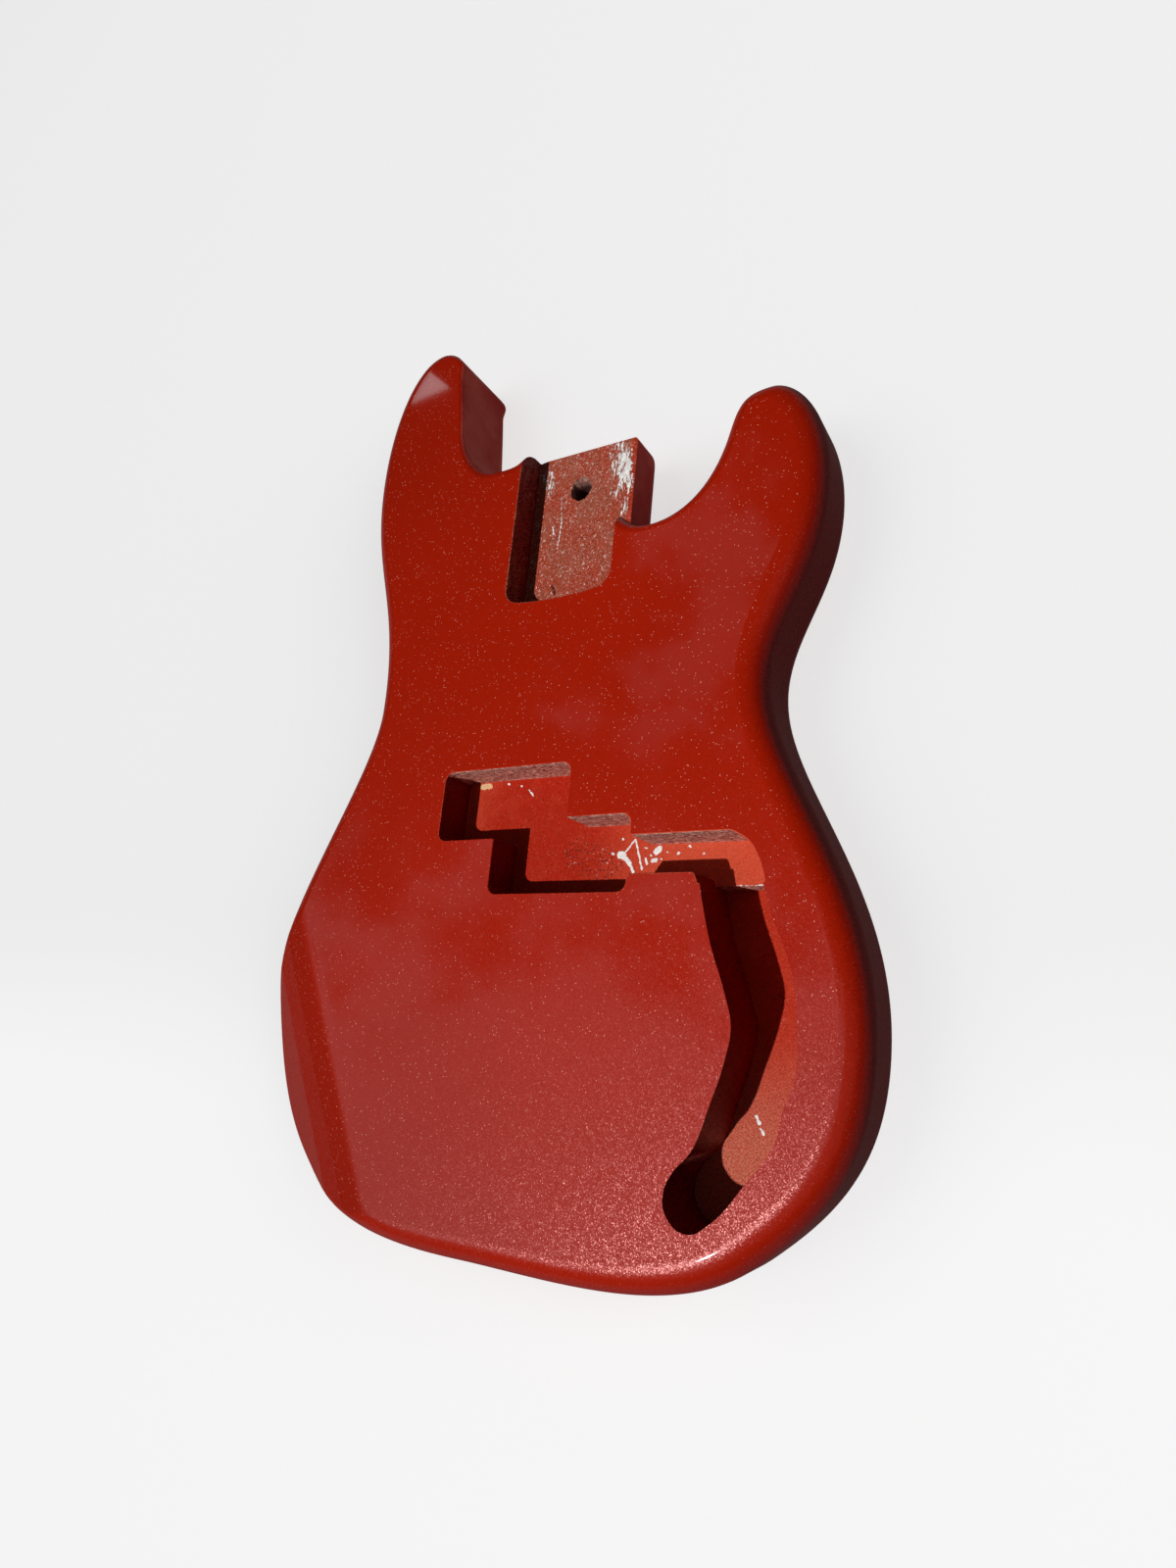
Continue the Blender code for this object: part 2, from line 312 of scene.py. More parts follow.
FINE_FLAKES = {"Flakes in a metre": 2600.0, "Tilt": 0.22, "Glint share": 0.0}
COARSE_FLAKES = {"Flakes in a metre": 1500.0, "Tilt": 0.0, "Glint share": 0.05}
PAINTED_GLINT_AND_CHIP_PINK = (0.90, 0.36, 0.28, 1)
CANDY_RED = (0.362, 0.0098, 0.0002)
SHADED_RED = (0.26, 0.006, 0.002, 1)
CUTAWAY_BOUNCE_LIGHT_RED = (0.68, 0.03, 0.02, 1)
CUTAWAY_PAINTED_SHEEN = (0.86, 0.12, 0.08, 1)
PAINTED_LIGHT_CENTRE = (0.02, -0.05, 0.044)


def make_lacquer():
    """Painted light and shade: brightest round the middle of the face, darker on the bevel, a shaded red on
    the sides, and painted bounce light and sheen in the cutaways.
    """
    material, tree, paint = empty_material("metallic_red_lacquer")
    here, way = parts_of(tree, object_place(tree)), facing(tree)
    flatness = calculate(tree, "ABSOLUTE", way["Z"])
    on_face = between(tree, flatness, 0.45, 0.9)
    on_top = between(tree, flatness, 0.94, 0.982)

    # Painted light and shade: the red is painted brighter round the middle of the face and darker towards its
    # edges, and darker on faces that lean to the bass side, such as the bevel, over a random tone.
    from_centre = along(tree, "DISTANCE", object_place(tree), PAINTED_LIGHT_CENTRE, result=1)
    brightness = calculate(tree, "MULTIPLY",
                           between(tree, clouds(tree, 6, 2), 0.3, 0.7, 0.95, 1.05),
                           between(tree, from_centre, 0.08, 0.30, 1.08, 0.84),
                           between(tree, way["X"], -0.20, -0.08, 0.84, 1.0))
    # The cutaways' walls are painted with bounce light and a patchy painted sheen, and the other sides with a
    # darker shaded red, standing in for light and shade.
    in_cutaways = calculate(tree, "MULTIPLY", between(tree, here["Y"], 0.095, 0.115),
                            between(tree, calculate(tree, "ABSOLUTE", here["X"]), 0.115, 0.105))
    cutaway_painted_light = blend(tree, between(tree, clouds(tree, 22, 3), 0.40, 0.62), CUTAWAY_BOUNCE_LIGHT_RED, CUTAWAY_PAINTED_SHEEN)
    side = blend(tree, in_cutaways, SHADED_RED, cutaway_painted_light)
    colour = blend(tree, on_face, side, scaled(tree, CANDY_RED, brightness))

    flakes = effect(tree, metal_flakes, FINE_FLAKES)
    coarse_flakes = effect(tree, metal_flakes, COARSE_FLAKES)
    # The coarse flakes' glints are painted into the base colour in pale pink, fainter off the flat front.
    glint = calculate(tree, "MULTIPLY", coarse_flakes["Glint"], between(tree, on_top, 0.0, 1.0, 0.15, 0.8))
    tree.links.new(blend(tree, glint, colour, PAINTED_GLINT_AND_CHIP_PINK), paint.inputs["Base Color"])
    tree.links.new(flakes["Normal"], paint.inputs["Normal"])
    tree.links.new(between(tree, on_top, 0.0, 1.0, 0.08, 1.0), paint.inputs["Coat Weight"])
    tree.links.new(between(tree, flatness, 0.2, 0.8, 0.60, 0.29), paint.inputs["Roughness"])
    paint.inputs["Metallic"].default_value = 0.06
    paint.inputs["Specular IOR Level"].default_value = 0.22
    paint.inputs["Coat Roughness"].default_value = 0.04
    return material


lacquer = make_lacquer()

# The routes. A template and a bearing cutter sink the neck pocket, the split pickup's bed, the wire
# channel and the control cavity. Only overspray reaches in, over raw walls with torn grain, and
# drops of white primer have run into the channel.

MOUTH_ROUND = 0.7 * MM
MOUTH_TURN = math.radians(80)
FOOT_ROUND = 1 * MM
FILLET_STEPS = 4
OVERCUT = 8 * MM

POCKET_WIDTH = 63.5
POCKET_DEPTH = 16
POCKET_END_Y = 63
POCKET_END_BOW = 3
POCKET_CORNER = 6.5
POCKET_MOUTH_Y = 190

PICKUP_LENGTH = 75.5
PICKUP_WIDTH = 35
PICKUP_DEPTH = 19
PICKUP_CORNER = 4.5
BASS_HALF_CENTRE = (-17.5, -43)
TREBLE_HALF_CENTRE = (17.5, -70)
CHANNEL_TOP_Y = -62.5
CHANNEL_BOTTOM_Y = -79.5
CHANNEL_CORNER_X = 88.5
SHELF_LEFT_X = 90.3
SHELF_RIGHT_X = 120.2
SHELF_END_Y = -82.75
SHELF_OVERLAP = 1.5
CAVITY_TOP_RIGHT_X = 119.7
CAVITY_DEPTH = 30.5
WALL_CURL = 0.39

# The cavity's wall in millimetres, from the channel down the treble side, round the jack and back
CAVITY_WALL = (
    (104, -62.5), (112, -67), (117.5, -75.5), (121, -87), (124.5, -98), (130.5, -111),
    (134.5, -123.5), (136.7, -143), (136.3, -161), (132, -171.5), (129.5, -183), (118.5, -198.5),
    (104, -215), (94.5, -219.7), (85.5, -215), (83, -207), (86.5, -198), (94, -189.5),
    (101, -171.5), (106.5, -154), (108.2, -142), (105, -130), (97, -109), (92, -90.5),
)

POCKET_FLOOR = THICKNESS - POCKET_DEPTH * MM
PICKUP_BED = THICKNESS - PICKUP_DEPTH * MM
CAVITY_FLOOR = THICKNESS - CAVITY_DEPTH * MM


def rounded(corners, steps=7):
    """Points round a closed path in millimetres, whose corners are (x, y, radius)."""
    ring = []
    for before, corner, after in zip(corners[-1:] + corners[:-1], corners, corners[1:] + corners[:1]):
        place, radius = Vector(corner[:2]), corner[2]
        back = (Vector(before[:2]) - place).normalized()
        on = (Vector(after[:2]) - place).normalized()
        if radius == 0:
            ring.append(place.to_3d())
            continue
        half = back.angle(on) / 2
        reach = radius / math.tan(half)
        start, end = place + back * reach, place + on * reach
        handle = reach * 4 / 3 * math.tan((math.pi / 2 - half) / 2) * math.tan(half)
        ring += interpolate_bezier(start.to_3d(), (start - back * handle).to_3d(),
                                   (end - on * handle).to_3d(), end.to_3d(), steps)
    return ring


def smooth_wall(places, steps=7):
    """Points along an open smooth curve through the places."""
    places = [Vector((*place, 0)) for place in places]
    handles = [(places[0], places[0])]
    for before, place, after in zip(places, places[1:], places[2:]):
        to_before, to_after = (before - place).length, (after - place).length
        way = ((place - before) / to_before + (after - place) / to_after).normalized() * WALL_CURL
        handles.append((place - way * to_before, place + way * to_after))
    handles.append((places[-1], places[-1]))
    points = []
    for index in range(len(places) - 1):
        points += interpolate_bezier(places[index], handles[index][1], handles[index + 1][0],
                                     places[index + 1], steps + 1)[:-1]
    return points + places[-1:]


def cutter(name, ring, depth, material):
    """A solid with upright walls, a small fillet at its foot and a flare at the front face."""
    places = [place * MM for place in ring]
    normals = outward_normals(places)
    floor = THICKNESS - depth * MM
    profile = []
    for step in range(FILLET_STEPS + 1):
        turn = math.pi / 2 * step / FILLET_STEPS
        profile.append((-FOOT_ROUND * (1 - math.sin(turn)), floor + FOOT_ROUND * (1 - math.cos(turn))))
    for step in range(FILLET_STEPS + 1):
        turn = MOUTH_TURN * step / FILLET_STEPS
        rise = MOUTH_ROUND * math.sin(turn) / math.sin(MOUTH_TURN)
        profile.append((MOUTH_ROUND * (1 - math.cos(turn)), THICKNESS - MOUTH_ROUND + rise))
    profile.append((2 * MOUTH_ROUND, THICKNESS + 0.2 * MM))
    profile.append((2 * MOUTH_ROUND, THICKNESS + OVERCUT))
    rings = [[place + normal * out + up(height) for place, normal in zip(places, normals)]
             for out, height in profile]
    obj = new_object(name, loft(rings), [material])
    obj.hide_render = True
    return obj


def pocket_ring():
    """The neck pocket from above, with a bowed end between two round corners, open at the heel."""
    half = POCKET_WIDTH / 2
    inner = half - POCKET_CORNER
    shoulder = POCKET_END_Y + POCKET_END_BOW
    bow_start = shoulder - 0.4 * POCKET_END_BOW
    tilt = 2 * POCKET_END_BOW / half
    handle = 6
    bow = interpolate_bezier(Vector((-inner, bow_start, 0)),
                             Vector((-inner + handle, bow_start - handle * tilt, 0)),
                             Vector((-12, POCKET_END_Y, 0)), Vector((0, POCKET_END_Y, 0)), 14)
    turn = interpolate_bezier(Vector((-half, shoulder + POCKET_CORNER, 0)), Vector((-half, shoulder + 3, 0)),
                              Vector((-inner - 3.5, shoulder - 0.4, 0)), bow[0], 10)
    left = [Vector((-half, POCKET_MOUTH_Y, 0))] + turn[:-1] + bow
    right = [Vector((-point.x, point.y, 0)) for point in reversed(left[:-1])]
    return left + right


def pickup_ring():
    """Both halves of the pickup's bed, the channel and the shelf, at one depth."""
    half_length, half_width = PICKUP_LENGTH / 2, PICKUP_WIDTH / 2
    (bass_x, bass_y), (treble_x, treble_y) = BASS_HALF_CENTRE, TREBLE_HALF_CENTRE
    bass_left, bass_right = bass_x - half_length, bass_x + half_length
    treble_left, treble_right = treble_x - half_length, treble_x + half_length
    below_shelf = SHELF_END_Y - SHELF_OVERLAP
    ring = rounded([
        (bass_left, bass_y + half_width, PICKUP_CORNER),
        (bass_left, bass_y - half_width, PICKUP_CORNER),
        (treble_left, bass_y - half_width, 1),
        (treble_left, treble_y - half_width, PICKUP_CORNER),
        (treble_right, treble_y - half_width, PICKUP_CORNER),
        (treble_right, CHANNEL_BOTTOM_Y, 1.5),
        (CHANNEL_CORNER_X, CHANNEL_BOTTOM_Y, 2.5),
        (SHELF_LEFT_X, below_shelf, 0),
        (SHELF_RIGHT_X, below_shelf, 0),
        (*CAVITY_WALL[0], 0),
        (treble_right, CHANNEL_TOP_Y, 1.5),
        (treble_right, treble_y + half_width, PICKUP_CORNER),
        (bass_right, treble_y + half_width, 1),
        (bass_right, bass_y + half_width, PICKUP_CORNER),
    ])
    shelf = [point for point in smooth_wall(CAVITY_WALL) if point.y > below_shelf and point.x > 100]
    corner = next(index for index, point in enumerate(ring) if abs(point.x - SHELF_RIGHT_X) < 0.01)
    return ring[:corner + 1] + shelf[::-1] + ring[corner + 2:]


def cavity_ring():
    wall = [point for point in smooth_wall(CAVITY_WALL) if point.y < SHELF_END_Y]
    return [Vector((SHELF_LEFT_X, SHELF_END_Y, 0)), Vector((CAVITY_TOP_RIGHT_X, SHELF_END_Y, 0))] + wall


def clamped(tree, value):
    return place_node(tree, "ShaderNodeClamp", {"Value": value}).outputs[0]


def paint_mark_group():
    """A dab between two points, whose rim wanders and breaks up."""
    tree, given, out = new_group(
        "paint_mark",
        {"Start": ("NodeSocketVector", (0, 0, 0)), "End": ("NodeSocketVector", (0, 0, 0)),
         "Width": ("NodeSocketFloat", 0.002), "Wander": ("NodeSocketFloat", 0.001)},
        {"Mark": "NodeSocketFloat"})
    span = along(tree, "SUBTRACT", given["End"], given["Start"])
    offset = along(tree, "SUBTRACT", object_place(tree), given["Start"])
    squared = calculate(tree, "MAXIMUM", along(tree, "DOT_PRODUCT", span, span, result=1), 1e-9)
    share = calculate(tree, "DIVIDE", along(tree, "DOT_PRODUCT", offset, span, result=1), squared)
    nearest = scaled(tree, span, clamped(tree, share))
    gap = along(tree, "LENGTH", along(tree, "SUBTRACT", offset, nearest), result=1)
    shake = calculate(tree, "SUBTRACT", clouds(tree, 700, 4), 0.5)
    gap = calculate(tree, "ADD", gap, calculate(tree, "MULTIPLY", shake, given["Wander"]))
    edge = calculate(tree, "SUBTRACT", given["Width"], gap)
    tree.links.new(between(tree, edge, -0.0001, 0.0002), out["Mark"])
    return tree


paint_mark = paint_mark_group()


def paint_marks(tree, height, marks):
    """The strongest of many dabs at one height, each (x, y, x, y, width, wander) in millimetres."""
    total = 0.0
    for mark in marks:
        ends = {"Start": (mark[0] * MM, mark[1] * MM, height), "End": (mark[2] * MM, mark[3] * MM, height),
                "Width": mark[4] * MM, "Wander": mark[5] * MM}
        total = calculate(tree, "MAXIMUM", effect(tree, paint_mark, ends)["Mark"], total)
    return total


# Dabs in millimetres, each from one x and y to another, with its width and its rim's wander
PRIMER_DROPS = (
    (39.9, -66.9, 41.5, -67.4, 1.9, 1.4),
    (41.5, -67.4, 45.2, -71, 1.2, 1.2),
    (45.2, -71, 47.5, -75.2, 0.8, 1.0),
    (42.4, -65.9, 47.1, -60, 0.5, 1.2),
    (47.6, -60.1, 52, -74, 0.5, 1.4),
    (60.4, -64.8, 58.9, -66, 1.6, 1.5),
    (59.1, -69.9, 57.4, -70.2, 1.1, 1.2),
    (40.7, -59.3, 40.7, -59.3, 0.7, 0.6),
    (35.4, -66.1, 36.2, -66.4, 0.6, 0.8),
    (53.6, -69.1, 54.4, -71.5, 0.6, 0.8),
    (70.2, -67.3, 70.6, -67, 0.7, 0.5),
    (75.9, -64, 76.3, -64.4, 0.6, 0.5),
    (83, -67.8, 83.4, -67.6, 0.5, 0.5),
    (-30.8, -27.4, -30.2, -27.6, 0.6, 0.7),
    (-22.5, -29, -22, -29.2, 0.5, 0.6),
    (-17.2, -31.5, -13.7, -35.3, 0.4, 1.6),
    (98.6, -82.5, 114, -82.6, 0.15, 2.2),
    (56, -67.5, 56.3, -67.8, 0.45, 0.8),
    (61.5, -69.5, 61.9, -69.6, 0.4, 0.8),
    (64.5, -66.4, 65, -66.5, 0.35, 0.8),
    (33, -70.5, 33.2, -70.4, 0.3, 0.6),
    (52.4, -63.9, 54, -64.3, 0.3, 1.2),
)
CAVITY_MARKS = (
    (108.9, -176.8, 110.2, -179.4, 0.7, 2.2),
    (110.9, -181.6, 112.2, -183.3, 0.6, 1.8),
    (72.9, -196, 83.4, -199.8, 0.15, 0.3),
)
BARE_SPOTS = (
    (-47.5, -27.8, -42.5, -28, 1.5, 2),
    (53, -57, 62, -56.5, 0.4, 1.2),
)
# Two larger dabs, in metres
CHIPPED_PATCH = {"Start": (0.016, -0.066, PICKUP_BED), "End": (0.034, -0.072, PICKUP_BED),
                 "Width": 0.008, "Wander": 0.008}
WORN_WALL = {"Start": (0.1189, -0.0885, 0.036), "End": (0.1265, -0.105, 0.038),
             "Width": 0.005, "Wander": 0.005}

ROUTE_FLAKES = {"Flakes in a metre": 2000.0, "Tilt": 0.6, "Glint share": 0.05}
OVERSPRAY = (0.40, 0.013, 0.001, 1)
OVERSPRAY_THIN = (0.63, 0.085, 0.037, 1)
SHADED_WALL_RED = (0.20, 0.0012, 0.001, 1)
TORN_RED = (0.24, 0.035, 0.026, 1)
END_GRAIN = (0.80, 0.36, 0.28, 1)
FIBRE = (0.75, 0.62, 0.52, 1)
PRIMER = (0.85, 0.82, 0.78, 1)
BARE_ALDER = (0.72, 0.45, 0.24, 1)
PAINTED_PIT_SHADE = (0.10, 0.012, 0.006, 1)
CAVITY_DUST = (0.60, 0.22, 0.14, 1)


def route_floor_colour(tree, here, glint, dry):
    """Overspray that thins towards both ends of the bed, and is dusty low in the cavity."""
    in_cavity = between(tree, here["Z"], PICKUP_BED - 4 * MM, PICKUP_BED, 1.0, 0.0)
    blotches = calculate(tree, "MULTIPLY", between(tree, clouds(tree, 90, 3), 0.45, 0.70), 0.12)
    treble_end = calculate(tree, "SUBTRACT", between(tree, here["X"], 0.015, 0.07, 0.0, 0.75),
                           calculate(tree, "MULTIPLY", in_cavity, 0.6))
    aslant = calculate(tree, "SUBTRACT", here["X"], calculate(tree, "MULTIPLY", here["Y"], 0.4))
    bass_end = between(tree, aslant, -0.045, -0.012, 0.42, 0.0)
    thinness = clamped(tree, calculate(tree, "ADD", blotches, treble_end, bass_end))
    colour = blend(tree, thinness, OVERSPRAY, OVERSPRAY_THIN)
    # Painted glints: a share of the flakes is painted in pale pink.
    colour = blend(tree, calculate(tree, "MULTIPLY", glint, 0.5), colour, PAINTED_GLINT_AND_CHIP_PINK)
    far_down = between(tree, here["Y"], -0.20, -0.135, 0.9, 0.0)
    colour = blend(tree, calculate(tree, "MULTIPLY", far_down, in_cavity, dry), colour, CAVITY_DUST)

    chipped = effect(tree, paint_mark, CHIPPED_PATCH)["Mark"]
    pits = calculate(tree, "MULTIPLY", between(tree, clouds(tree, 900, 4), 0.56, 0.62), chipped)
    chips = between(tree, clouds(tree, 620, 5, roughness=0.7), 0.62, 0.66)
    # The pits in the chipped patch are painted dark with painted shade; pale chips go over them in the glint
    # pink.
    colour = blend(tree, pits, colour, PAINTED_PIT_SHADE)
    return blend(tree, calculate(tree, "MULTIPLY", chips, chipped), colour, PAINTED_GLINT_AND_CHIP_PINK)


def route_wall_colour(tree, here, way, dry, fuzz, end_grain):
    """Deep red where the cutter ran along the grain, darkened with painted shade, torn fuzz across it, and
    painted sunlight with a worn patch on the walls that face the key lamp.
    """
    torn = blend(tree, fuzz, TORN_RED, END_GRAIN)
    near_mouth = between(tree, here["Z"], THICKNESS - 8 * MM, THICKNESS, 0.12, 0.0)
    fibres = calculate(tree, "SUBTRACT", clouds(tree, 1100, 5, (0.5, 1, 1), 0.7), near_mouth)
    torn = blend(tree, between(tree, fibres, 0.50, 0.60), torn, FIBRE)
    # The walls' own deep red is darkened with painted shade.
    wall = blend(tree, end_grain, SHADED_WALL_RED, torn)
    # Painted light: the walls that face the key lamp are painted in the lit overspray colours.
    painted_sun_side = between(tree, way["X"], -0.6, -0.2, 1.0, 0.0)
    painted_sunlit_wall = blend(tree, dry, OVERSPRAY, OVERSPRAY_THIN)
    painted_sunlit_wall = blend(tree, effect(tree, paint_mark, WORN_WALL)["Mark"], painted_sunlit_wall, CAVITY_DUST)
    return blend(tree, painted_sun_side, wall, painted_sunlit_wall)


def make_overspray():
    """Floors and walls apart, with the spilt primer, the marks and the bare spots over them."""
    material, tree, paint = empty_material("oversprayed_route")
    here, way = parts_of(tree, object_place(tree)), facing(tree)
    on_floor = between(tree, way["Z"], 0.5, 0.9)
    end_grain = between(tree, way["Y"], -0.9, -0.6, 1.0, 0.0)
    flakes = effect(tree, metal_flakes, ROUTE_FLAKES)
    dry = between(tree, clouds(tree, 1500, 3, roughness=0.6), 0.30, 0.70)
    fuzz = between(tree, clouds(tree, 620, 7, (0.6, 1, 1), 0.75), 0.36, 0.64)
    drops = paint_marks(tree, PICKUP_BED, PRIMER_DROPS)

    colour = blend(tree, on_floor, route_wall_colour(tree, here, way, dry, fuzz, end_grain),
                   route_floor_colour(tree, here, flakes["Glint"], dry))
    colour = blend(tree, paint_marks(tree, CAVITY_FLOOR, CAVITY_MARKS), colour, PRIMER)
    colour = blend(tree, paint_marks(tree, PICKUP_BED, BARE_SPOTS), colour, BARE_ALDER)
    tree.links.new(blend(tree, drops, colour, PRIMER), paint.inputs["Base Color"])

    raised = calculate(tree, "ADD", calculate(tree, "MULTIPLY", dry, 0.25),
                       calculate(tree, "MULTIPLY", fuzz, end_grain), drops)
    bump = place_node(tree, "ShaderNodeBump", {"Height": raised, "Distance": 0.0004, "Strength": 0.7,
                                               "Normal": flakes["Normal"]})
    tree.links.new(bump.outputs[0], paint.inputs["Normal"])
    matt = calculate(tree, "MAXIMUM", on_floor, end_grain)
    tree.links.new(between(tree, matt, 0.0, 1.0, 0.22, 0.62), paint.inputs["Roughness"])
    paint.inputs["Specular IOR Level"].default_value = 0.12
    return material


POCKET_FLAKES = {"Flakes in a metre": 1500.0, "Tilt": 0.9, "Glint share": 0.10}
POCKET_RED = (0.38, 0.03, 0.008, 1)
SHADED_POCKET_WALL = (0.24, 0.010, 0.008, 1)
POCKET_DUST = (0.33, 0.075, 0.038, 1)
POCKET_SCRATCH = (0.72, 0.50, 0.43, 1)
POCKET_GLINT = (0.85, 0.55, 0.48, 1)

# Dabs on the pocket's floor, with the same columns as the primer drops
POCKET_SCRAPES = (
    (23.2, 148.5, 25, 136, 3.2, 5),
    (-18.8, 116.3, -17.6, 111.9, 0.45, 1.2),
    (-15.1, 133.5, -13.2, 118, 0.22, 1.4),
    (-13.2, 118, -14.2, 102.2, 0.3, 1.6),
    (-24.1, 143.2, -24.1, 142, 0.9, 0.8),
)
POCKET_RUBS = (
    (20.5, 152, 23.5, 131, 7, 7),
    (25.2, 131, 25.8, 114, 2.6, 4),
    (-27, 150, -23, 141, 4, 5),
)
POCKET_NICKS = (
    (-15, 80.3, -12.5, 75.2, 0.8, 1.2),
)


def make_pocket():
    """Overspray under sanding dust, scuffed by trial fits, but for a clean strip on the treble side."""
    material, tree, paint = empty_material("scuffed_neck_pocket")
    here, way = parts_of(tree, object_place(tree)), facing(tree)
    on_floor = between(tree, way["Z"], 0.5, 0.9)
    clean_strip = between(tree, here["X"], 0.0275, 0.0295)
    flakes = effect(tree, metal_flakes, POCKET_FLAKES)

    dust = clouds(tree, 260, 5, (1, 0.25, 1), 0.65)
    patches = between(tree, clouds(tree, 70, 3, (1, 0.5, 1), 0.6), 0.38, 0.60)
    dusty = calculate(tree, "MULTIPLY", between(tree, dust, 0.30, 0.62, 0.45, 1.0),
                      between(tree, patches, 0.0, 1.0, 0.45, 1.0))
    dusty = clamped(tree, calculate(tree, "SUBTRACT", dusty, clean_strip))
    scratches = between(tree, clouds(tree, 900, 3, (1, 0.7, 1), 0.7), 0.60, 0.66)
    scratches = calculate(tree, "MULTIPLY", scratches, calculate(tree, "SUBTRACT", 1.0, clean_strip))
    strokes = clouds(tree, 1000, 4, (1, 0.22, 1), 0.65)
    scraped = calculate(tree, "MULTIPLY", paint_marks(tree, POCKET_FLOOR, POCKET_SCRAPES),
                        between(tree, strokes, 0.40, 0.46))
    rubbed = calculate(tree, "MULTIPLY", paint_marks(tree, POCKET_FLOOR, POCKET_RUBS),
                       between(tree, strokes, 0.51, 0.55))
    bared = calculate(tree, "MAXIMUM", scraped, rubbed)

    colour = blend(tree, dusty, POCKET_RED, POCKET_DUST)
    colour = blend(tree, scratches, colour, POCKET_SCRATCH)
    # Painted glints: a share of the flakes is painted in pale pink.
    colour = blend(tree, flakes["Glint"], colour, POCKET_GLINT)
    colour = blend(tree, bared, colour, PRIMER)
    # The nicks are painted dark with painted shade.
    colour = blend(tree, paint_marks(tree, POCKET_FLOOR, POCKET_NICKS), colour, PAINTED_PIT_SHADE)
    # The wall's own red, darkened with painted shade, under patches of dust.
    wall = blend(tree, between(tree, dust, 0.50, 0.68), SHADED_POCKET_WALL, POCKET_DUST)
    tree.links.new(blend(tree, on_floor, wall, colour), paint.inputs["Base Color"])

    raised = calculate(tree, "ADD", calculate(tree, "MULTIPLY", dust, 0.6), bared)
    raised = calculate(tree, "MULTIPLY", raised, on_floor)
    bump = place_node(tree, "ShaderNodeBump", {"Height": raised, "Distance": 0.0005, "Strength": 0.6,
                                               "Normal": flakes["Normal"]})
    tree.links.new(bump.outputs[0], paint.inputs["Normal"])
    tree.links.new(between(tree, on_floor, 0.0, 1.0, 0.22, 0.58), paint.inputs["Roughness"])
    paint.inputs["Specular IOR Level"].default_value = 0.3
    return material


overspray = make_overspray()
pocket_finish = make_pocket()

# The hanging hole. It is drilled into the pocket's floor, where the neck's heel covers it, to hold
# the body on its hook in the booth. The drill has torn wood out round its rim.

HOLE_PLACE = Vector((-2.4, 135.2, 0)) * MM
HOLE_RADIUS = 6.35 * MM
HOLE_DEPTH = 20 * MM
HOLE_OVERCUT = 3 * MM
HOLE_SIDES = 56
HOLE_RINGS = 16
TORN_REACH = 6 * MM

# The fray's patches in a metre, and the millimetres by which the grain tears out
COARSE_FRAY = 600
FINE_FRAY = 1500
GRAIN_TEAR = 2.2

TORN_DARK = (0.14, 0.025, 0.018, 1)
TORN_PALE = (0.50, 0.26, 0.20, 1)
PAINTED_HOLE_SHADE = (0.06, 0.012, 0.01, 1)


def make_torn_wood():
    material, tree, paint = empty_material("torn_wood")
    fibres = clouds(tree, 900, 5, (1, 1, 0.3), 0.6)
    torn = blend(tree, between(tree, fibres, 0.35, 0.65), TORN_DARK, TORN_PALE)
    height = parts_of(tree, object_place(tree))["Z"]
    # Painted shade: the hole is painted dark below its torn rim.
    near_rim = between(tree, height, POCKET_FLOOR - 7 * MM, POCKET_FLOOR - 1 * MM)
    tree.links.new(blend(tree, near_rim, PAINTED_HOLE_SHADE, torn), paint.inputs["Base Color"])
    bump = place_node(tree, "ShaderNodeBump", {"Height": fibres, "Distance": 0.0008, "Strength": 0.8})
    tree.links.new(bump.outputs[0], paint.inputs["Normal"])
    paint.inputs["Roughness"].default_value = 0.75
    return material


def hole_cutter(material):
    """A drilled hole whose rim is ragged, most where the grain runs out of it."""
    length = HOLE_DEPTH + HOLE_OVERCUT
    bm = bmesh.new()
    bmesh.ops.create_cone(bm, cap_ends=True, segments=HOLE_SIDES, radius1=HOLE_RADIUS, radius2=HOLE_RADIUS,
                          depth=length)
    upright = [edge for edge in bm.edges if abs(edge.verts[0].co.z - edge.verts[1].co.z) > length / 2]
    bmesh.ops.subdivide_edges(bm, edges=upright, cuts=HOLE_RINGS)
    middle = POCKET_FLOOR + HOLE_OVERCUT - length / 2
    bmesh.ops.translate(bm, verts=bm.verts, vec=HOLE_PLACE + up(middle))
    for vert in bm.verts:
        spoke = vert.co - HOLE_PLACE
        spoke.z = 0
        if spoke.length < 1e-5:
            continue
        near_rim = max(0, 1 - abs(vert.co.z - POCKET_FLOOR) / TORN_REACH)
        grainward = max(0, spoke.normalized().y) ** 2
        ragged = noise.noise(vert.co * COARSE_FRAY) * 0.5 + noise.noise(vert.co * FINE_FRAY) * 0.3
        push = (ragged * (0.5 + near_rim) + grainward * near_rim ** 2 * GRAIN_TEAR) * MM
        vert.co += spoke.normalized() * push
    obj = new_object("hanging_hole_cutter", bm, [material])
    obj.hide_render = True
    return obj


def carve(obj, cutters):
    """Cuts every cutter out of the object for good, and takes their materials with them."""
    for tool in cutters:
        modifier = obj.modifiers.new(tool.name, "BOOLEAN")
        modifier.operation = "DIFFERENCE"
        modifier.object = tool
        modifier.solver = "MANIFOLD"
        modifier.material_mode = "TRANSFER"
    bpy.context.view_layer.update()
    mesh = bpy.data.meshes.new_from_object(obj.evaluated_get(bpy.context.evaluated_depsgraph_get()))
    for used in cutters + [obj]:
        bpy.data.objects.remove(used, do_unlink=True)
    return mesh


